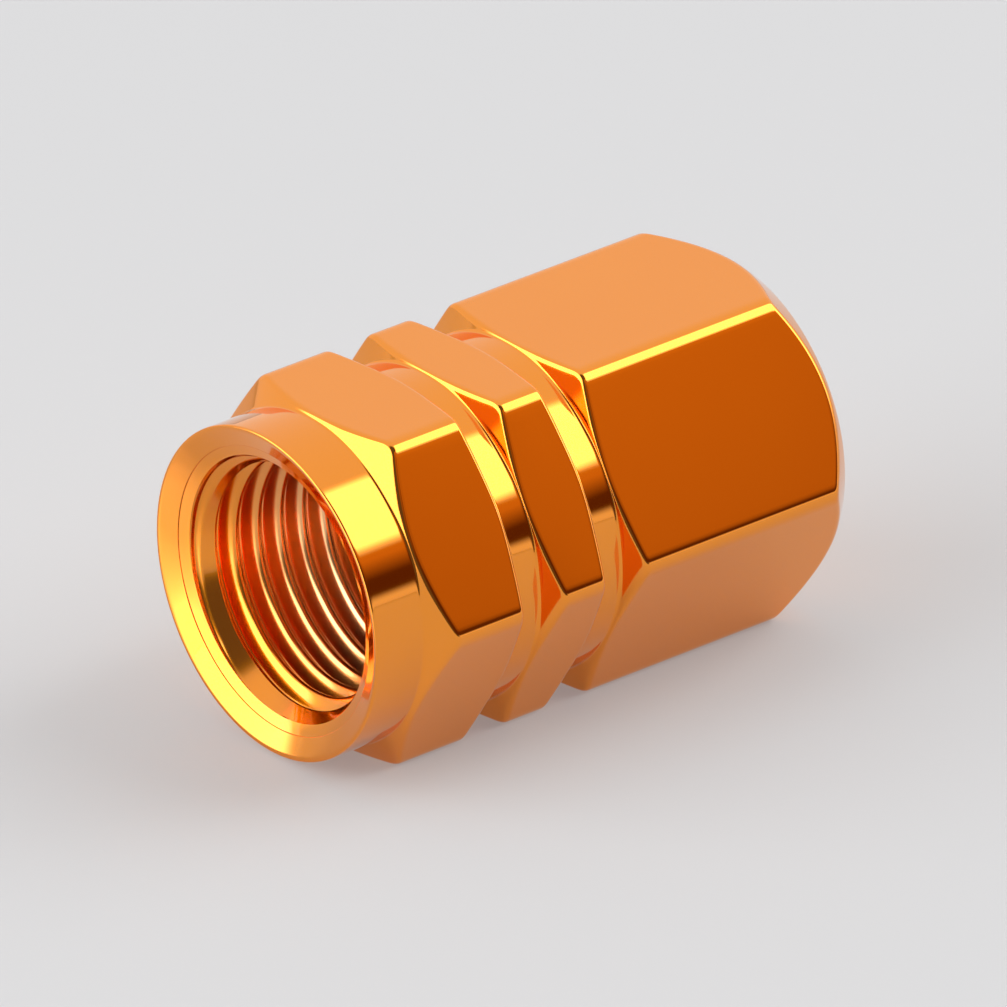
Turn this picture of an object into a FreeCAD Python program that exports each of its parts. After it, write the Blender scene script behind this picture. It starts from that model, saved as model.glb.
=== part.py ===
import FreeCAD, Part
import os

import Sketcher

# A tyre valve cap turned from hexagon bar, lying on one of its flats.
# A round collar with a threaded mouth comes first, then a short hexagon, a narrow hexagon ring
# and a long hexagon, parted by two turned bands. A flat washer sits at the blind end of the bore.
# Both pieces are drawn along +Y from the middle of the mouth. Their placement then puts the
# origin under the middle of the length, where the lowest flat touches the ground.

os.makedirs("parts", exist_ok=True)
doc = FreeCAD.newDocument("valve_cap")

# The driving dimensions, in millimetres and degrees
SIZES = [
    ("total_length", 16.85, "from the mouth to the crown"),
    ("across_flats", 10.0, "key size of the hexagon"),
    ("corner_radius", 0.5, "rounding of the hexagon's long corners"),
    ("crown_inset", 0.28, "rim of the closed end's flat disc, inside the flats"),
    ("crown_slope", 48, "chamfer round the crown, from square"),
    ("crown_edge_radius", 0.15, "softened edge between disc and chamfer"),
    ("collar_step", 0.12, "round collar at the mouth, below the flats"),
    ("collar_length", 1.68, "from the mouth to the foot of the shoulder"),
    ("collar_edge_radius", 0.12, "outer rounding of the mouth"),
    ("shoulder_slope", 34, "cone that cuts the short hexagon's corners, from square"),
    ("band_width", 0.86, "floor of a turned band"),
    ("band_depth", 0.08, "floor of a band, below the flats"),
    ("band_slope", 22, "walls of a band, from square"),
    ("first_band_centre", 5.29, "from the mouth to the middle of the nearer band"),
    ("band_spacing", 2.9, "from one band to the next"),
    ("mouth_ring_width", 0.04, "flat ring between the outer rounding and the lip"),
    ("lip_slope", 24, "shallow cone of the lip, from square"),
    ("throat_diameter", 8.32, "where the lip meets the lead-in cone"),
    ("lead_in_slope", 45, "cone that leads into the thread, from square"),
    ("thread_minor_diameter", 6.9, "wall of the bore, at the crests of the thread"),
    ("thread_end", 9.4, "from the mouth to the last turn of the thread"),
    ("recess_depth", 0.5, "undercut past the thread, beyond the bore's wall"),
    ("drill_point_slope", 31, "cone left by the drill, from square"),
    ("washer_thickness", 1.5, "flat rubber washer"),
    ("washer_hole_diameter", 3.2, "room for the pin of the valve's core"),
    ("washer_side_clearance", 0.05, "washer to the wall of its recess"),
    ("washer_end_clearance", 0.1, "washer to the thread's end"),
]

sheet = doc.addObject("Spreadsheet::Sheet", "sizes")
for row, (alias, value, meaning) in enumerate(SIZES, start=1):
    sheet.set(f"A{row}", meaning)
    sheet.set(f"B{row}", str(value))
    sheet.setAlias(f"B{row}", alias)
doc.recompute()

# Radii and places that more than one cut goes by, as expressions on the sheet
FLAT = "(sizes.across_flats / 2)"
COLLAR = f"({FLAT} - sizes.collar_step)"
BORE = "(sizes.thread_minor_diameter / 2)"
RECESS = f"({BORE} + sizes.recess_depth)"
SEAT = "(sizes.thread_end + sizes.washer_end_clearance + sizes.washer_thickness)"

# Cutting profiles end well outside the bar, past its corners and both of its ends
CLEAR = "sizes.across_flats"
BEFORE_MOUTH = f"(-{FLAT})"
PAST_CROWN = f"(sizes.total_length + {FLAT})"


def number(expression):
    """The present value of an expression on the sheet."""
    value = sheet.evalExpression(expression)
    return float(getattr(value, "Value", value))


def rise(slope, reach):
    """How far a cone moves along the axis over a radial reach, for a slope from square."""
    return f"(({reach}) * tan(sizes.{slope} * 1 deg))"


def new_body(label):
    body = doc.addObject("PartDesign::Body", label)
    body.Label = label
    return body


def new_sketch(body, name, role):
    """A sketch on one of the body's own origin planes."""
    plane = next(f for f in body.Origin.OriginFeatures if f.Role == role)
    sketch = body.newObject("Sketcher::SketchObject", name)
    sketch.AttachmentSupport = [(plane, "")]
    sketch.MapMode = "FlatFace"
    return sketch


def bind(sketch, constraint, name, expression):
    """Add a constraint whose value follows the sheet."""
    index = sketch.addConstraint(constraint)
    sketch.renameConstraint(index, name)
    sketch.setExpression(f"Constraints.{name}", expression)


def place(sketch, curve, end, name, along, out):
    """Hold the end of a curve at a distance along the axis and a distance out from it."""
    if along == "0":
        sketch.addConstraint(Sketcher.Constraint("Vertical", curve, end, -1, 1))
    else:
        constraint = Sketcher.Constraint("DistanceX", curve, end, number(along))
        bind(sketch, constraint, f"{name}_along", along)
    if out == "0":
        sketch.addConstraint(Sketcher.Constraint("Horizontal", curve, end, -1, 1))
    else:
        constraint = Sketcher.Constraint("DistanceY", curve, end, number(out))
        bind(sketch, constraint, f"{name}_out", out)


def half_section(body, name, corners, rounds=None):
    """A closed half section beside the axis, from corners given as (along, out).

    A round is keyed by the corner it starts from and holds (radius, centre along, centre out).
    It turns the line to the next corner into an arc.
    """
    rounds = rounds or {}
    sketch = new_sketch(body, name, "YZ_Plane")
    points = [FreeCAD.Vector(number(along), number(out), 0) for along, out in corners]
    starts = []
    for index, here in enumerate(points):
        there = points[(index + 1) % len(points)]
        if index not in rounds:
            sketch.addGeometry(Part.LineSegment(here, there))
            starts.append(1)
            continue
        radius, along, out = (number(size) for size in rounds[index])
        centre = FreeCAD.Vector(along, out, 0)
        # Arcs run anticlockwise, so one that turns the other way begins at the next corner
        anticlockwise = (here - centre).cross(there - centre).z > 0
        first, last = (here, there) if anticlockwise else (there, here)
        outward = ((first + last) / 2 - centre).normalize()
        sketch.addGeometry(Part.Arc(first, centre + outward * radius, last))
        starts.append(1 if anticlockwise else 2)
    for index, start in enumerate(starts):
        after = (index + 1) % len(starts)
        sketch.addConstraint(
            Sketcher.Constraint("Coincident", index, 3 - start, after, starts[after])
        )
    for index, (along, out) in enumerate(corners):
        place(sketch, index, starts[index], f"corner_{index + 1}", along, out)
    for index, (radius, _, _) in rounds.items():
        constraint = Sketcher.Constraint("Radius", index, number(radius))
        bind(sketch, constraint, f"round_{index + 1}", radius)
    return sketch


def turn(body, kind, name, sketch):
    """Revolve a half section about the axis: a Groove cuts, a Revolution adds."""
    before = body.Shape.Volume if body.Tip else 0
    feature = body.newObject(f"PartDesign::{kind}", name)
    feature.Profile = sketch
    feature.ReferenceAxis = (sketch, ["H_Axis"])
    feature.Angle = 360
    doc.recompute()
    added = feature.Shape.Volume > before
    if added != (kind == "Revolution"):
        raise RuntimeError(f"{name} changes the volume the wrong way")
    return feature


def round_edges(body, name, base, chosen, radius):
    """Round those edges of a feature that pass a test, with a radius from the sheet."""
    edges = [f"Edge{i}" for i, edge in enumerate(base.Shape.Edges, start=1) if chosen(edge)]
    fillet = body.newObject("PartDesign::Fillet", name)
    fillet.Base = (base, edges)
    fillet.setExpression("Radius", f"sizes.{radius}")
    doc.recompute()
    return fillet


def lay_down(body):
    """Bring the ground below the middle of the length to the origin."""
    body.setExpression(".Placement.Base.y", "-sizes.total_length / 2")
    body.setExpression(".Placement.Base.z", FLAT)


def hexagon_bar(body):
    """Six equal sides on a construction circle, two of them level, padded along the axis."""
    sketch = new_sketch(body, "bar_section", "XZ_Plane")
    upright = FreeCAD.Vector(0, 0, 1)
    corner = FreeCAD.Vector(number(f"{FLAT} / cos(30 deg)"), 0, 0)
    corners = [FreeCAD.Rotation(upright, 240 + 60 * side).multVec(corner) for side in range(6)]
    for side in range(6):
        sketch.addGeometry(Part.LineSegment(corners[side], corners[(side + 1) % 6]))
    circle = sketch.addGeometry(Part.Circle(FreeCAD.Vector(), upright, corner.Length), True)
    sketch.addConstraint(Sketcher.Constraint("Coincident", circle, 3, -1, 1))
    for side in range(6):
        sketch.addConstraint(Sketcher.Constraint("Coincident", side, 2, (side + 1) % 6, 1))
        sketch.addConstraint(Sketcher.Constraint("PointOnObject", side, 1, circle))
    for side in range(1, 6):
        sketch.addConstraint(Sketcher.Constraint("Equal", 0, side))
    sketch.addConstraint(Sketcher.Constraint("Horizontal", 0))
    low = Sketcher.Constraint("DistanceY", 0, 1, number(f"-{FLAT}"))
    bind(sketch, low, "lowest_flat", f"-{FLAT}")
    pad = body.newObject("PartDesign::Pad", "bar")
    pad.Profile = sketch
    pad.Reversed = True
    pad.setExpression("Length", "sizes.total_length")
    doc.recompute()
    return pad


def runs_along_the_bar(edge):
    first, last = (vertex.Point for vertex in edge.Vertexes)
    return abs(abs(first.y - last.y) - number("sizes.total_length")) < 1e-6


def is_crown_rim(edge):
    if edge.Curve.TypeId != "Part::GeomCircle":
        return False
    on_crown = abs(edge.Curve.Center.y - number("sizes.total_length")) < 1e-6
    rim = number(f"{FLAT} - sizes.crown_inset")
    return on_crown and abs(edge.Curve.Radius - rim) < 1e-6


def cut_crown(body):
    """The closed end: a flat disc, and a chamfer that bites into the hexagon's corners."""
    rim = f"({FLAT} - sizes.crown_inset)"
    corners = [
        ("sizes.total_length", rim),
        (PAST_CROWN, rim),
        (PAST_CROWN, CLEAR),
        (f"sizes.total_length - {rise('crown_slope', f'{CLEAR} - {rim}')}", CLEAR),
    ]
    section = half_section(body, "crown_section", corners)
    crown = turn(body, "Groove", "crown", section)
    return round_edges(body, "crown_edge", crown, is_crown_rim, "crown_edge_radius")


def cut_collar(body):
    """The round collar with its rounded lip, and the conical shoulder of the short hexagon."""
    lip = "sizes.collar_edge_radius"
    corners = [
        (BEFORE_MOUTH, f"{COLLAR} - {lip}"),
        ("0", f"{COLLAR} - {lip}"),
        (lip, COLLAR),
        ("sizes.collar_length", COLLAR),
        (f"sizes.collar_length + {rise('shoulder_slope', f'{CLEAR} - {COLLAR}')}", CLEAR),
        (BEFORE_MOUTH, CLEAR),
    ]
    rounds = {1: (lip, lip, f"{COLLAR} - {lip}")}
    section = half_section(body, "collar_section", corners, rounds)
    return turn(body, "Groove", "collar", section)


def cut_bands(body):
    """Two turned bands with sloping walls part the hexagon into three."""
    floor = f"({FLAT} - sizes.band_depth)"
    foot = "sizes.band_width / 2"
    top = f"({foot} + {rise('band_slope', f'{CLEAR} - {floor}')})"
    corners = [
        (f"sizes.first_band_centre - {foot}", floor),
        (f"sizes.first_band_centre + {foot}", floor),
        (f"sizes.first_band_centre + {top}", CLEAR),
        (f"sizes.first_band_centre - {top}", CLEAR),
    ]
    section = half_section(body, "band_section", corners)
    first = turn(body, "Groove", "first_band", section)
    bands = body.newObject("PartDesign::LinearPattern", "bands")
    bands.Originals = [first]
    bands.Direction = (section, ["H_Axis"])
    bands.Occurrences = 2
    bands.setExpression("Length", "sizes.band_spacing")
    body.Tip = bands
    doc.recompute()
    if bands.Shape.Volume >= first.Shape.Volume:
        raise RuntimeError("the second band cuts nothing")
    return bands


def cut_bore(body):
    """The blind bore: shallow lip, lead-in cone, thread wall, recess, seat and drill point."""
    ring = f"({COLLAR} - sizes.collar_edge_radius - sizes.mouth_ring_width)"
    throat = "(sizes.throat_diameter / 2)"
    throat_depth = rise("lip_slope", f"{ring} - {throat}")
    corners = [
        (BEFORE_MOUTH, "0"),
        (BEFORE_MOUTH, ring),
        ("0", ring),
        (throat_depth, throat),
        (f"{throat_depth} + {rise('lead_in_slope', f'{throat} - {BORE}')}", BORE),
        ("sizes.thread_end", BORE),
        ("sizes.thread_end", RECESS),
        (SEAT, RECESS),
        (SEAT, BORE),
        (f"{SEAT} + {rise('drill_point_slope', BORE)}", "0"),
    ]
    section = half_section(body, "bore_section", corners)
    return turn(body, "Groove", "bore", section)


def washer_ring(body):
    """A flat ring lying on the seat at the blind end of the bore."""
    hole = "sizes.washer_hole_diameter / 2"
    outside = f"{RECESS} - sizes.washer_side_clearance"
    near_face = f"{SEAT} - sizes.washer_thickness"
    corners = [(near_face, hole), (near_face, outside), (SEAT, outside), (SEAT, hole)]
    section = half_section(body, "ring_section", corners)
    return turn(body, "Revolution", "ring", section)


# The cap: the bar first, then the turning cuts
cap = new_body("cap_body")
bar = hexagon_bar(cap)
round_edges(cap, "bar_corners", bar, runs_along_the_bar, "corner_radius")
cut_crown(cap)
cut_collar(cap)
cut_bands(cap)
cut_bore(cap)
lay_down(cap)

# The washer, in place inside the bore
washer = new_body("sealing_washer")
washer_ring(washer)
lay_down(washer)

doc.recompute()

# Nothing is written unless every object is sound
for item in doc.Objects:
    if {"Invalid", "Error"} & set(item.State):
        raise RuntimeError(f"{item.Name} is {item.State}")
for body in (cap, washer):
    if body.Shape.isNull() or not body.Shape.isValid() or len(body.Shape.Solids) != 1:
        raise RuntimeError(f"{body.Label} is not one sound solid")
for body in (cap, washer):
    body.Shape.exportStep(f"parts/{body.Label}.step")
    print(f"{body.Label}: {body.Shape.Volume:.2f} mm3")
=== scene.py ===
import math

import bmesh
import bpy
import numpy
from mathutils import Matrix, Quaternion, Vector


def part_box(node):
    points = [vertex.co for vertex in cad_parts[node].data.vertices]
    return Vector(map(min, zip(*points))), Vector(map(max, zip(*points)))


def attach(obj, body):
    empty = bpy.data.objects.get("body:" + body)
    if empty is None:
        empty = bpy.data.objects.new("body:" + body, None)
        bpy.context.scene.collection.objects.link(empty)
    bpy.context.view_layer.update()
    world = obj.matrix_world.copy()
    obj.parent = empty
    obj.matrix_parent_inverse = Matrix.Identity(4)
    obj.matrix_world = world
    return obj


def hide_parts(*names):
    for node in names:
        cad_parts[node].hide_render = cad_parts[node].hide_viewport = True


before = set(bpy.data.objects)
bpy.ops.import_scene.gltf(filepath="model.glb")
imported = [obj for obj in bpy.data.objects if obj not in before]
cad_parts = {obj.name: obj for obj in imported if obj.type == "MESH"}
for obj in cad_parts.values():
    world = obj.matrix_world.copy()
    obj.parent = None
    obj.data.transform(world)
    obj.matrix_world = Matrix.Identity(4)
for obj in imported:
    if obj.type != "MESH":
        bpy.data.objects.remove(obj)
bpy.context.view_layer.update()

# The view: from the right of the mouth and above, through a long lens from two thirds of a metre
# away, as in the photograph. The lens is twice as long as there, so that the cap fills the frame.
mm = 0.001
cap_low, cap_high = (Vector(corner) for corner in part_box("cap_body"))
cap_middle = (cap_low + cap_high) / 2
view_azimuth = math.radians(51.4)
view_elevation = math.radians(27.1)
view_distance = 679 * mm
camera_roll = math.radians(-0.9)
lens_length = 875

to_camera = Vector((
    math.cos(view_elevation) * math.sin(view_azimuth),
    -math.cos(view_elevation) * math.cos(view_azimuth),
    math.sin(view_elevation),
))
camera = bpy.data.objects.new("product_camera", bpy.data.cameras.new("product_camera"))
camera.data.lens = lens_length
camera.location = cap_middle + view_distance * to_camera
aim = (-to_camera).to_track_quat("-Z", "Y")
camera.rotation_euler = (aim @ Quaternion((0, 0, 1), camera_roll)).to_euler()
bpy.context.scene.collection.objects.link(camera)
bpy.context.scene.camera = camera
bpy.context.scene.view_settings.view_transform = "Standard"

# The cap: one piece of aluminium, turned and threaded from hexagon bar, then polished, so that
# every edge is soft. Its surface is drawn as columns of points side by side round the axis, each
# from the middle of the crown along the outside to the mouth, and down the bore.
flat_reach = (cap_high.z - cap_low.z) / 2
cap_length = cap_high.y - cap_low.y
crown_rim = flat_reach - 0.28 * mm
crown_slope = math.tan(math.radians(48))
band_floor = flat_reach - 0.08 * mm
band_half_width = 0.43 * mm
band_slope = math.tan(math.radians(22))
band_centres = (8.19 * mm, 5.29 * mm)
shoulder_slope = math.tan(math.radians(34))
collar_radius = flat_reach - 0.12 * mm
collar_length = 1.68 * mm
lip_start = 4.78 * mm
lip_crease = (0.245 * mm, 4.22 * mm)
crease_step = 0.03 * mm
thread_start = 0.4 * mm
entry_reach = 3.9 * mm

# How far the polishing softens each kind of edge, to both sides of it. The hexagon's long corners
# take the most, and the crease of the lip the least.
corner_softening = 0.41 * mm
rim_softening = 0.2 * mm
edge_softening = 0.16 * mm
band_foot_softening = 0.1 * mm
collar_foot_softening = 0.08 * mm
mouth_softening = 0.12 * mm
crease_softening = 0.02 * mm
crease_foot_softening = 0.01 * mm
softened_share = 0.98
profile_steps = 7
flat_columns = 20
corner_columns = 10


def soft_curve(first, corner, last, steps):
    """Points of a curve that leaves both sides of a corner without a sudden bend."""
    points = []
    for step in range(steps + 1):
        t = step / steps
        near = (1 - t) ** 3 * (1 + t)
        far = t ** 3 * (2 - t)
        points.append(near * first + far * last + (1 - near - far) * corner)
    return points


def softened(corners, steps):
    """A profile from corners (along, out, reach), each softened over its reach to both sides."""
    points = []
    for index, (along, out, reach) in enumerate(corners):
        here = Vector((along, out))
        if not reach:
            points.append(here)
            continue
        ends = []
        for other in (corners[index - 1], corners[index + 1]):
            side = Vector(other[:2]) - here
            free_length = softened_share * side.length * (0.5 if other[2] else 1)
            ends.append(here + side.normalized() * min(reach, free_length))
        points += soft_curve(ends[0], here, ends[1], steps)
    return points


def outside(reach):
    """The outer profile where the hexagon's side is this far from the axis, crown to thread."""
    corners = [
        (cap_length, 0, 0),
        (cap_length, crown_rim, rim_softening),
        (cap_length - (reach - crown_rim) * crown_slope, reach, edge_softening),
    ]
    for centre in band_centres:
        wall = band_half_width + (reach - band_floor) * band_slope
        corners += [
            (centre + wall, reach, edge_softening),
            (centre + band_half_width, band_floor, band_foot_softening),
            (centre - band_half_width, band_floor, band_foot_softening),
            (centre - wall, reach, edge_softening),
        ]
    shoulder_top = collar_length + (reach - collar_radius) * shoulder_slope
    corners += [
        (shoulder_top, reach, edge_softening),
        (collar_length, collar_radius, collar_foot_softening),
        (0, collar_radius, mouth_softening),
        (0, lip_start, mouth_softening),
        (*lip_crease, crease_softening),
        (lip_crease[0] + crease_step, lip_crease[1], crease_foot_softening),
        (thread_start, entry_reach, 0),
    ]
    return softened(corners, profile_steps)


def hexagon_outline():
    """(direction, reach) of each column: six flats, and a soft corner after each."""
    half_side = flat_reach * math.tan(math.radians(30))
    flat_end = half_side - corner_softening
    soft_corner = soft_curve(
        Vector((flat_reach, flat_end)),
        Vector((flat_reach, half_side)),
        Matrix.Rotation(math.radians(60), 2) @ Vector((flat_reach, -flat_end)),
        corner_columns,
    )
    outline = []
    for side in range(6):
        facing = math.radians(30 + 60 * side)
        for step in range(flat_columns):
            across = flat_end * (2 * step / flat_columns - 1)
            outline.append((facing + math.atan2(across, flat_reach), math.hypot(flat_reach, across)))
        for point in soft_corner[:-1]:
            outline.append((facing + math.atan2(point.y, point.x), point.length))
    return outline


# The thread inside: right-hand, with flanks 60 degrees apart and dulled crests and roots, tapped
# from behind the lip to the recess at the blind end, and its first crests are cut back in a steep
# cone. Its turns climb by one pitch in going once round the bore.
thread_pitch = 25.4 * mm / 32
bore_radius = 3.45 * mm
root_radius = 3.9 * mm
thread_end = 9.4 * mm
thread_phase = math.radians(118)
flank = (root_radius - bore_radius) * math.tan(math.radians(30))
root_flat = 0.12 * mm
crest_flat = thread_pitch - 2 * flank - root_flat
dulling = 0.24 * mm
thread_steps = 6
thread_form = softened([
    (0, bore_radius, 0),
    (crest_flat / 2, bore_radius, dulling),
    (crest_flat / 2 + flank, root_radius, dulling),
    (crest_flat / 2 + flank + root_flat, root_radius, dulling),
    (crest_flat / 2 + flank * 2 + root_flat, bore_radius, dulling),
    (thread_pitch, bore_radius, 0),
], thread_steps)
entry_cone = math.tan(math.radians(60))
cone_edge = 0.01 * mm


def thread_reach(along, direction):
    """How far out the bore's surface is, with a soft edge where the cone cuts the thread."""
    phase = (along + thread_pitch * (direction + thread_phase) / math.tau) % thread_pitch
    thread = numpy.interp(phase, [p.x for p in thread_form], [p.y for p in thread_form])
    cone = entry_reach - (along - thread_start) / entry_cone
    gap = thread - cone
    return (thread + cone + math.hypot(gap, cone_edge)) / 2


def point_at(along, out, direction):
    """A point of the cap in the row's frame."""
    return (
        out * math.cos(direction),
        cap_low.y + along,
        cap_middle.z + out * math.sin(direction),
    )


shape = bmesh.new()
outline = hexagon_outline()
columns = []
for direction, reach in outline:
    profile = outside(reach)
    columns.append([shape.verts.new(point_at(p.x, p.y, direction)) for p in profile[1:]])
crown_middle = shape.verts.new(point_at(cap_length, 0, 0))

turns = math.ceil((thread_end - thread_start) / thread_pitch) + 1
rows = [
    turn * thread_pitch + point.x for turn in range(turns + 1) for point in thread_form[:-1]
]
first_direction = outline[0][0]
threads = []
thread_ends = []
for direction, reach in outline:
    climb = thread_pitch * (direction - first_direction) / math.tau
    start = thread_start + thread_pitch * (first_direction + thread_phase) / math.tau
    shift = thread_start - start % thread_pitch
    last = shape.verts.new(
        point_at(thread_end, thread_reach(thread_end, direction), direction)
    )
    column = []
    for row in rows:
        along = row + shift - climb
        if along <= thread_start:
            column.append(columns[len(threads)][-1])
        elif along >= thread_end:
            column.append(last)
        else:
            out = thread_reach(along, direction)
            column.append(shape.verts.new(point_at(along, out, direction)))
    threads.append(column)
    thread_ends.append(last)
per_turn = len(thread_form) - 1
threads.append([columns[0][-1]] * per_turn + threads[0][:-per_turn])

# The bore's blind end: a recess cut wider than the thread, with a flat seat for the washer, and
# past the seat the cone that the drill has left. All three are turned or drilled into the cap.
recess_radius = 3.95 * mm
seat_depth = 11 * mm
seat_softening = 0.05 * mm
drill_point = math.tan(math.radians(31))
blind_end = softened([
    (thread_end, recess_radius, 0),
    (seat_depth, recess_radius, seat_softening),
    (seat_depth, bore_radius, seat_softening),
    (seat_depth + bore_radius * drill_point, 0, 0),
], 3)
blind_ends = []
for (direction, reach), last in zip(outline, thread_ends):
    blind_ends.append([last] + [
        shape.verts.new(point_at(p.x, p.y, direction)) for p in blind_end[:-1]
    ])
drill_tip = shape.verts.new(point_at(blind_end[-1].x, 0, 0))


def fill(one, two):
    """Faces between two columns of points, where points may be shared."""
    for corners in zip(one, one[1:], two[1:], two):
        face = [c for index, c in enumerate(corners) if c is not corners[index - 1]]
        if len(set(face)) > 2:
            shape.faces.new(face)


for index in range(len(outline)):
    after = (index + 1) % len(outline)
    fill(columns[index], columns[after])
    fill(threads[index], threads[index + 1])
    fill(blind_ends[index], blind_ends[after])
    shape.faces.new((crown_middle, columns[index][0], columns[after][0]))
    shape.faces.new((drill_tip, blind_ends[after][-1], blind_ends[index][-1]))
bmesh.ops.recalc_face_normals(shape, faces=shape.faces)
for face in shape.faces:
    face.smooth = True
for index in range(len(outline)):
    after = (index + 1) % len(outline)
    shape.edges.get((columns[index][-1], columns[after][-1])).smooth = False
    shape.edges.get((thread_ends[index], thread_ends[after])).smooth = False
cap_mesh = bpy.data.meshes.new("turned_cap")
shape.to_mesh(cap_mesh)
shape.free()
turned_cap = bpy.data.objects.new("turned_cap", cap_mesh)
bpy.context.scene.collection.objects.link(turned_cap)
weighted = turned_cap.modifiers.new("even_faces", "WEIGHTED_NORMAL")
weighted.mode = "FACE_AREA"
weighted.weight = 80
weighted.keep_sharp = True

# The dye: polished aluminium under a clear layer that is dyed orange. The dye varies slightly
# over the surface, and thins out down the narrow bore, where the bath reached less. No polishing
# wheel reaches into the bore either, so the thread keeps the tap's duller finish.
cloud_scale = 220
cloud_detail = 3
bore_margin = 0.2 * mm
thinning_start = 1.5 * mm
thinning_end = 5 * mm
bore_region_end = 14 * mm
tap_dullness = 0.12

anodised = bpy.data.materials.new("anodised_aluminium")
anodised.use_nodes = True
nodes = anodised.node_tree.nodes
links = anodised.node_tree.links
metal = nodes["Principled BSDF"]
metal.inputs["Metallic"].default_value = 1
metal.inputs["Coat Weight"].default_value = 1
metal.inputs["Coat Roughness"].default_value = 0.03
metal.inputs["Coat IOR"].default_value = 1.5
metal.inputs["Specular Tint"].default_value = (1, 0.7, 0.4, 1)
surface_place = nodes.new("ShaderNodeTexCoord")
cloud = nodes.new("ShaderNodeTexNoise")
cloud.inputs["Scale"].default_value = cloud_scale
cloud.inputs["Detail"].default_value = cloud_detail
links.new(surface_place.outputs["Object"], cloud.inputs["Vector"])
dye = nodes.new("ShaderNodeMix")
dye.data_type = "RGBA"
dye.inputs["A"].default_value = (0.95, 0.285, 0.003, 1)
dye.inputs["B"].default_value = (0.98, 0.31, 0.006, 1)
links.new(cloud.outputs["Fac"], dye.inputs["Factor"])

from_axis = nodes.new("ShaderNodeVectorMath")
from_axis.operation = "MULTIPLY_ADD"
from_axis.inputs[1].default_value = (1, 0, 1)
from_axis.inputs[2].default_value = (0, 0, -cap_middle.z)
radius = nodes.new("ShaderNodeVectorMath")
radius.operation = "LENGTH"
links.new(surface_place.outputs["Object"], from_axis.inputs[0])
links.new(from_axis.outputs["Vector"], radius.inputs[0])
inside = nodes.new("ShaderNodeMapRange")
inside.inputs["From Min"].default_value = root_radius + bore_margin
inside.inputs["From Max"].default_value = root_radius
links.new(radius.outputs["Value"], inside.inputs["Value"])
place_parts = nodes.new("ShaderNodeSeparateXYZ")
links.new(surface_place.outputs["Object"], place_parts.inputs["Vector"])
before_crown = nodes.new("ShaderNodeMath")
before_crown.operation = "LESS_THAN"
before_crown.inputs[1].default_value = cap_low.y + bore_region_end
links.new(place_parts.outputs["Y"], before_crown.inputs[0])
in_bore = nodes.new("ShaderNodeMath")
in_bore.operation = "MULTIPLY"
links.new(inside.outputs["Result"], in_bore.inputs[0])
links.new(before_crown.outputs["Value"], in_bore.inputs[1])

depth = nodes.new("ShaderNodeMapRange")
depth.inputs["From Min"].default_value = cap_low.y + thinning_start
depth.inputs["From Max"].default_value = cap_low.y + thinning_end
links.new(place_parts.outputs["Y"], depth.inputs["Value"])
thinned = nodes.new("ShaderNodeMath")
thinned.operation = "MULTIPLY"
links.new(in_bore.outputs["Value"], thinned.inputs[0])
links.new(depth.outputs["Result"], thinned.inputs[1])
colour = nodes.new("ShaderNodeMix")
colour.data_type = "RGBA"
colour.inputs["B"].default_value = (0.95, 0.5, 0.22, 1)
links.new(thinned.outputs["Value"], colour.inputs["Factor"])
links.new(dye.outputs["Result"], colour.inputs["A"])
links.new(colour.outputs["Result"], metal.inputs["Base Color"])
gloss = nodes.new("ShaderNodeMapRange")
gloss.inputs["To Min"].default_value = 0.06
gloss.inputs["To Max"].default_value = 0.1
links.new(cloud.outputs["Fac"], gloss.inputs["Value"])
tap_finish = nodes.new("ShaderNodeMath")
tap_finish.operation = "MULTIPLY_ADD"
tap_finish.inputs[1].default_value = tap_dullness
links.new(in_bore.outputs["Value"], tap_finish.inputs[0])
links.new(gloss.outputs["Result"], tap_finish.inputs[2])
links.new(tap_finish.outputs["Value"], metal.inputs["Roughness"])
cap_mesh.materials.append(anodised)
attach(turned_cap, "root")
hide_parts("cap_body")

# The washer: a flat ring of black rubber, stamped from sheet, with a hole for the pin of the
# valve's core. It is pressed past the thread into the recess, and lies on its seat there.
washer_low, washer_high = (Vector(corner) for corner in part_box("sealing_washer"))
washer_radius = (washer_high.x - washer_low.x) / 2
washer_hole = 1.6 * mm
washer_edge = 0.08 * mm
washer_columns = 64
face_middle = (washer_hole + washer_radius) / 2
ring_profile = softened([
    (washer_low.y, face_middle, 0),
    (washer_low.y, washer_radius, washer_edge),
    (washer_high.y, washer_radius, washer_edge),
    (washer_high.y, washer_hole, washer_edge),
    (washer_low.y, washer_hole, washer_edge),
    (washer_low.y, face_middle, 0),
], 4)[:-1]
ring_shape = bmesh.new()
ring_columns = []
for column in range(washer_columns):
    direction = math.tau * column / washer_columns
    ring_columns.append([
        ring_shape.verts.new((
            p.y * math.cos(direction), p.x, cap_middle.z + p.y * math.sin(direction)
        ))
        for p in ring_profile
    ])
for one, two in zip(ring_columns, ring_columns[1:] + ring_columns[:1]):
    for index in range(len(one)):
        ring_shape.faces.new((one[index - 1], one[index], two[index], two[index - 1]))
bmesh.ops.recalc_face_normals(ring_shape, faces=ring_shape.faces)
for face in ring_shape.faces:
    face.smooth = True
ring_mesh = bpy.data.meshes.new("rubber_washer")
ring_shape.to_mesh(ring_mesh)
ring_shape.free()
rubber_washer = bpy.data.objects.new("rubber_washer", ring_mesh)
bpy.context.scene.collection.objects.link(rubber_washer)

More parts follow.
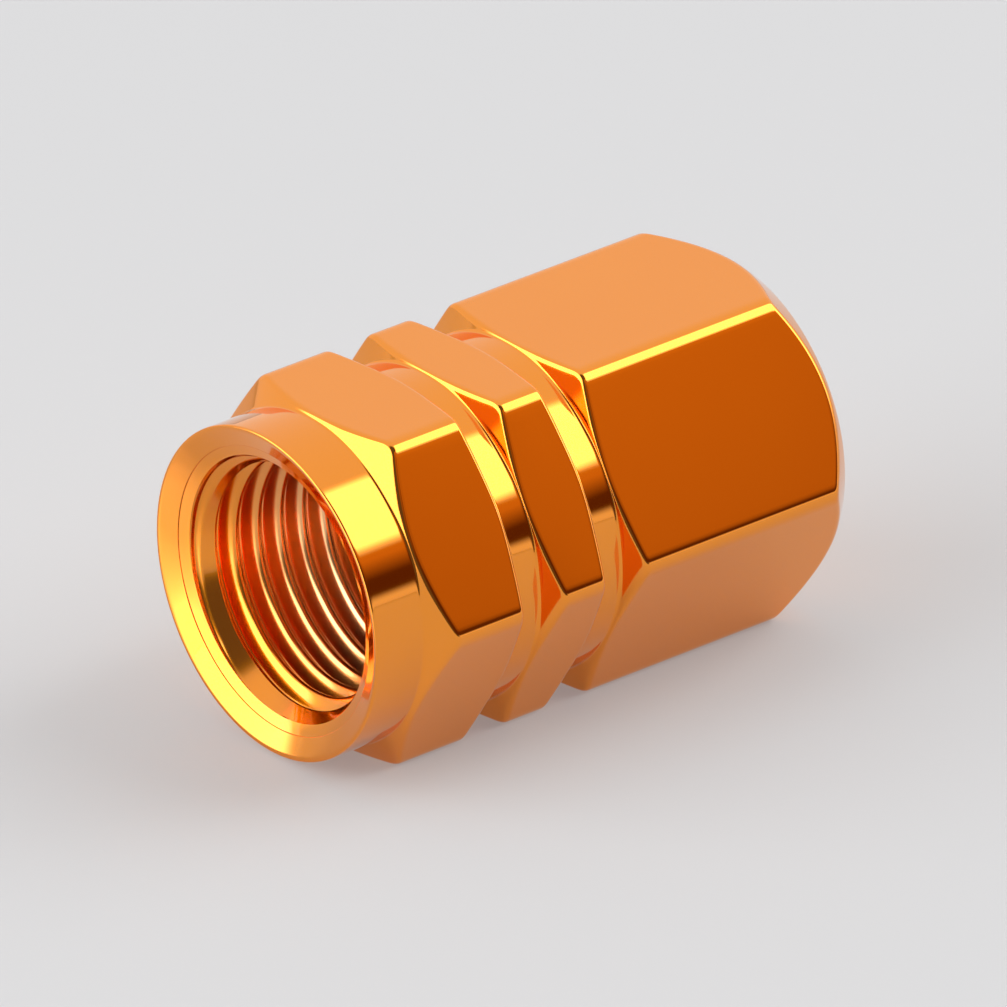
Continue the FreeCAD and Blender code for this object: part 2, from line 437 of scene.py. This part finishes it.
grain_scale = 9000
pore_depth = 0.01 * mm
rubber = bpy.data.materials.new("washer_rubber")
rubber.use_nodes = True
rubber_nodes = rubber.node_tree.nodes
rubber_links = rubber.node_tree.links
rubber_shader = rubber_nodes["Principled BSDF"]
rubber_shader.inputs["Roughness"].default_value = 0.7
rubber_place = rubber_nodes.new("ShaderNodeTexCoord")
grain = rubber_nodes.new("ShaderNodeTexNoise")
grain.inputs["Scale"].default_value = grain_scale
rubber_links.new(rubber_place.outputs["Object"], grain.inputs["Vector"])
rubber_colour = rubber_nodes.new("ShaderNodeMix")
rubber_colour.data_type = "RGBA"
rubber_colour.inputs["A"].default_value = (0.016, 0.016, 0.017, 1)
rubber_colour.inputs["B"].default_value = (0.03, 0.03, 0.031, 1)
rubber_links.new(grain.outputs["Fac"], rubber_colour.inputs["Factor"])
rubber_links.new(rubber_colour.outputs["Result"], rubber_shader.inputs["Base Color"])
pores = rubber_nodes.new("ShaderNodeBump")
pores.inputs["Distance"].default_value = pore_depth
rubber_links.new(grain.outputs["Fac"], pores.inputs["Height"])
rubber_links.new(pores.outputs["Normal"], rubber_shader.inputs["Normal"])
ring_mesh.materials.append(rubber)
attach(rubber_washer, "root")
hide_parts("sealing_washer")

# The floor: pale grey paper on a light table, large enough to fill the view. Part of its
# brightness comes through the paper from below, for the camera and mirrored rays alone, and
# keeps the shadow soft.
floor_half_width = 3
share_from_below = 0.3


def shown_rays(tree):
    """1 on the rays that show a thing directly or in a mirror, and 0 on those that light others."""
    rays = tree.nodes.new("ShaderNodeLightPath")
    mirrored = tree.nodes.new("ShaderNodeMath")
    shown = tree.nodes.new("ShaderNodeMath")
    tree.links.new(rays.outputs["Is Glossy Ray"], mirrored.inputs[0])
    tree.links.new(rays.outputs["Is Transmission Ray"], mirrored.inputs[1])
    tree.links.new(rays.outputs["Is Camera Ray"], shown.inputs[0])
    tree.links.new(mirrored.outputs["Value"], shown.inputs[1])
    return shown.outputs["Value"]


floor_mesh = bpy.data.meshes.new("floor")
floor_shape = bmesh.new()
bmesh.ops.create_grid(floor_shape, x_segments=1, y_segments=1, size=floor_half_width)
floor_shape.to_mesh(floor_mesh)
floor_shape.free()
floor = bpy.data.objects.new("floor", floor_mesh)
bpy.context.scene.collection.objects.link(floor)
paper = bpy.data.materials.new("floor_paper")
paper.use_nodes = True
paper_nodes = paper.node_tree.nodes
paper_links = paper.node_tree.links
paper_shader = paper_nodes["Principled BSDF"]
paper_shader.inputs["Base Color"].default_value = (0.7, 0.7, 0.71, 1)
paper_shader.inputs["Roughness"].default_value = 0.9
paper_shader.inputs["Specular IOR Level"].default_value = 0.1
table_light = paper_nodes.new("ShaderNodeEmission")
table_light.inputs["Color"].default_value = (0.73, 0.73, 0.738, 1)
from_below = paper_nodes.new("ShaderNodeMath")
from_below.operation = "MULTIPLY"
from_below.inputs[1].default_value = share_from_below
lit_paper = paper_nodes.new("ShaderNodeMixShader")
paper_links.new(shown_rays(paper.node_tree), from_below.inputs[0])
paper_links.new(from_below.outputs["Value"], lit_paper.inputs["Fac"])
paper_links.new(paper_shader.outputs["BSDF"], lit_paper.inputs[1])
paper_links.new(table_light.outputs["Emission"], lit_paper.inputs[2])
paper_links.new(lit_paper.outputs["Shader"], paper_nodes["Material Output"].inputs["Surface"])
floor_mesh.materials.append(paper)

# The softboxes: two lamps with fronts of white cloth, one high on the right, and one that stands
# on the table at the left and reaches round to the front. Both fade towards the cloth's edges.
lamp_distance = 0.5
cloth_fade = 0.13
level = Vector((-to_camera.x, -to_camera.y, 0)).normalized()
aside = level.cross(Vector((0, 0, 1)))


def from_camera(azimuth, elevation):
    """A direction from the cap, in degrees right of straight ahead and above the horizon."""
    azimuth, elevation = math.radians(azimuth), math.radians(elevation)
    flat = math.sin(azimuth) * aside + math.cos(azimuth) * level
    return math.cos(elevation) * flat + Vector((0, 0, math.sin(elevation)))


def fade_at_edges(tree, place_on_sheet, widths):
    """1 in the middle of a sheet and 0 at its edges, from places that run from 0 to 1 across it."""
    faded = tree.nodes.new("ShaderNodeMath")
    faded.operation = "MULTIPLY"
    for index, (place, width) in enumerate(zip(place_on_sheet, widths)):
        from_edge = tree.nodes.new("ShaderNodeMath")
        from_edge.operation = "PINGPONG"
        from_edge.inputs[1].default_value = 0.5
        fade = tree.nodes.new("ShaderNodeMapRange")
        fade.interpolation_type = "SMOOTHSTEP"
        fade.inputs["From Max"].default_value = width
        tree.links.new(place, from_edge.inputs[0])
        tree.links.new(from_edge.outputs["Value"], fade.inputs["Value"])
        tree.links.new(fade.outputs["Result"], faded.inputs[index])
    return faded.outputs["Value"]


def softbox(name, towards, along, length, height, radiance):
    """A lamp that faces the cap, with its length in the direction along."""
    lamp = bpy.data.lights.new(name, "AREA")
    lamp.shape = "RECTANGLE"
    lamp.size = length
    lamp.size_y = height
    lamp.energy = radiance * math.pi * length * height
    lamp.use_nodes = True
    cloth = lamp.node_tree
    front = cloth.nodes.new("ShaderNodeNewGeometry")
    front_parts = cloth.nodes.new("ShaderNodeSeparateXYZ")
    cloth.links.new(front.outputs["Parametric"], front_parts.inputs["Vector"])
    place_on_cloth = (front_parts.outputs["X"], front_parts.outputs["Y"])
    faded = fade_at_edges(cloth, place_on_cloth, (cloth_fade, cloth_fade))
    cloth.links.new(faded, cloth.nodes["Emission"].inputs["Strength"])
    box = bpy.data.objects.new(name, lamp)
    box.location = cap_middle + towards * lamp_distance
    across = towards.cross(along).normalized()
    facing_cap = Matrix((across.cross(towards), across, towards)).transposed()
    box.rotation_euler = facing_cap.to_euler()
    bpy.context.scene.collection.objects.link(box)


softbox(
    "right_softbox",
    towards=from_camera(78.4, 38.2),
    along=from_camera(-147, 28.5),
    length=0.59,
    height=0.39,
    radiance=2.5,
)
softbox(
    "left_softbox",
    towards=from_camera(-109, 20),
    along=from_camera(161, 0),
    length=0.71,
    height=0.49,
    radiance=2.9,
)

# The dark board: a bent sheet that stands on the right and gives the near flats their depth.
# It glows with a painted reflection of a dim part of the room: dark brown low down, and painted
# lighter and more orange towards its top. It is soft at its rim, and only mirrored rays meet it.
# Its bottom and its tops, each with an azimuth, are in degrees above the horizon.
board_distance = 0.2
board_bottom = 4
board_tops = ((85, 30), (95, 30.5), (105, 31), (120, 39), (140, 53), (160, 53))


def card(name, place, edges, low_radiance, high_radiance, turn, widths):
    """A glowing sheet between a low and a high edge of points, whose painted radiance turns in part
    of its height.
    """
    card_shape = bmesh.new()
    spread = card_shape.loops.layers.uv.new("spread")
    low, high = ([card_shape.verts.new(point) for point in edge] for edge in edges)
    for index in range(len(low) - 1):
        face = card_shape.faces.new((low[index], low[index + 1], high[index + 1], high[index]))
        steps = ((index, 0), (index + 1, 0), (index + 1, 1), (index, 1))
        for loop, (along, up) in zip(face.loops, steps):
            loop[spread].uv = (along / (len(low) - 1), up)
    card_mesh = bpy.data.meshes.new(name)
    card_shape.to_mesh(card_mesh)
    card_shape.free()
    board = bpy.data.objects.new(name, card_mesh)
    board.location = place
    bpy.context.scene.collection.objects.link(board)
    board.visible_camera = False
    board.visible_diffuse = False
    board.visible_shadow = False

    # The sheet's material is painted light: it glows, and only mirrored rays meet it.
    painted_glow = bpy.data.materials.new(name)
    painted_glow.use_nodes = True
    tree = painted_glow.node_tree
    tree.nodes.clear()
    spot = tree.nodes.new("ShaderNodeUVMap")
    spot_parts = tree.nodes.new("ShaderNodeSeparateXYZ")
    tree.links.new(spot.outputs["UV"], spot_parts.inputs["Vector"])
    height = spot_parts.outputs["Y"]
    climb = tree.nodes.new("ShaderNodeMapRange")
    climb.inputs["From Min"].default_value = turn[0]
    climb.inputs["From Max"].default_value = turn[1]
    shade = tree.nodes.new("ShaderNodeMix")
    shade.data_type = "RGBA"
    shade.inputs["A"].default_value = (*low_radiance, 1)
    shade.inputs["B"].default_value = (*high_radiance, 1)
    glow = tree.nodes.new("ShaderNodeEmission")
    clear = tree.nodes.new("ShaderNodeBsdfTransparent")
    blend = tree.nodes.new("ShaderNodeMixShader")
    output = tree.nodes.new("ShaderNodeOutputMaterial")
    cover = fade_at_edges(tree, (spot_parts.outputs["X"], height), widths)
    tree.links.new(height, climb.inputs["Value"])
    tree.links.new(climb.outputs["Result"], shade.inputs["Factor"])
    tree.links.new(shade.outputs["Result"], glow.inputs["Color"])
    tree.links.new(cover, blend.inputs["Fac"])
    tree.links.new(clear.outputs["BSDF"], blend.inputs[1])
    tree.links.new(glow.outputs["Emission"], blend.inputs[2])
    tree.links.new(blend.outputs["Shader"], output.inputs["Surface"])
    card_mesh.materials.append(painted_glow)


def on_board(azimuth, elevation):
    """A point of the board's sheet, which stands upright at one distance from the cap."""
    rise = Vector((0, 0, math.tan(math.radians(elevation))))
    return board_distance * (from_camera(azimuth, 0) + rise)


card(
    "painted_dark_reflection",
    place=Vector((0, 0, 0)),
    edges=(
        [on_board(azimuth, board_bottom) for azimuth, top in board_tops],
        [on_board(azimuth, top) for azimuth, top in board_tops],
    ),
    # Painted reflection: a dim glow, darkest at the bottom and painted lighter towards the top.
    low_radiance=(0.1, 0.035, 0.004),
    high_radiance=(0.64, 0.325, 0.05),
    turn=(0.3, 0.75),
    widths=(0.05, 0.12),
)

# The white card: a fan-shaped sheet that lies on the table at the left of the mouth and glows.
# Its glow is painted light, in place of white paper brightly lit by the softbox there, with
# painted shade that dims it close to the mouth. Its reflection is what makes the lip shine.
mouth_foot = Vector((0, cap_low.y, 0.1 * mm))
fan_azimuths = range(-150, -74, 5)
fan_start = 6 * mm
fan_end = 420 * mm
card(
    "painted_bright_reflection",
    place=mouth_foot,
    edges=(
        [fan_start * from_camera(azimuth, 0) for azimuth in fan_azimuths],
        [fan_end * from_camera(azimuth, 0) for azimuth in fan_azimuths],
    ),
    # Painted light: dim up to about 11 mm from the mouth, where painted shade stands for the cap's
    # shadow, and bright beyond about 18 mm.
    low_radiance=(1.2, 1.2, 1.2),
    high_radiance=(3.2, 3.2, 3.2),
    turn=(0.011, 0.03),
    widths=(0.2, 0.01),
)

# The surroundings: a room with pale walls, apart from a dark part high up behind the camera,
# which shows in the mouth. The walls light the cap a little less than they show in it.
dark_middle = from_camera(170, 30)
dark_edge = math.cos(math.radians(56))
dark_core = math.cos(math.radians(44))
wall_light = 0.78
studio = bpy.data.worlds.new("studio")
studio.use_nodes = True
bpy.context.scene.world = studio
studio_nodes = studio.node_tree.nodes
studio_links = studio.node_tree.links
backdrop = studio_nodes["Background"]
towards_wall = studio_nodes.new("ShaderNodeTexCoord")
behind = studio_nodes.new("ShaderNodeVectorMath")
behind.operation = "DOT_PRODUCT"
behind.inputs[1].default_value = dark_middle
dark_part = studio_nodes.new("ShaderNodeMapRange")
dark_part.interpolation_type = "SMOOTHSTEP"
dark_part.inputs["From Min"].default_value = dark_edge
dark_part.inputs["From Max"].default_value = dark_core
walls = studio_nodes.new("ShaderNodeMix")
walls.data_type = "RGBA"
walls.inputs["A"].default_value = (0.92, 0.92, 0.92, 1)
walls.inputs["B"].default_value = (0.13, 0.12, 0.11, 1)
wall_strength = studio_nodes.new("ShaderNodeMapRange")
wall_strength.inputs["To Min"].default_value = wall_light
wall_strength.inputs["To Max"].default_value = 1
studio_links.new(towards_wall.outputs["Generated"], behind.inputs[0])
studio_links.new(behind.outputs["Value"], dark_part.inputs["Value"])
studio_links.new(dark_part.outputs["Result"], walls.inputs["Factor"])
studio_links.new(walls.outputs["Result"], backdrop.inputs["Color"])
studio_links.new(shown_rays(studio.node_tree), wall_strength.inputs["Value"])
studio_links.new(wall_strength.outputs["Result"], backdrop.inputs["Strength"])
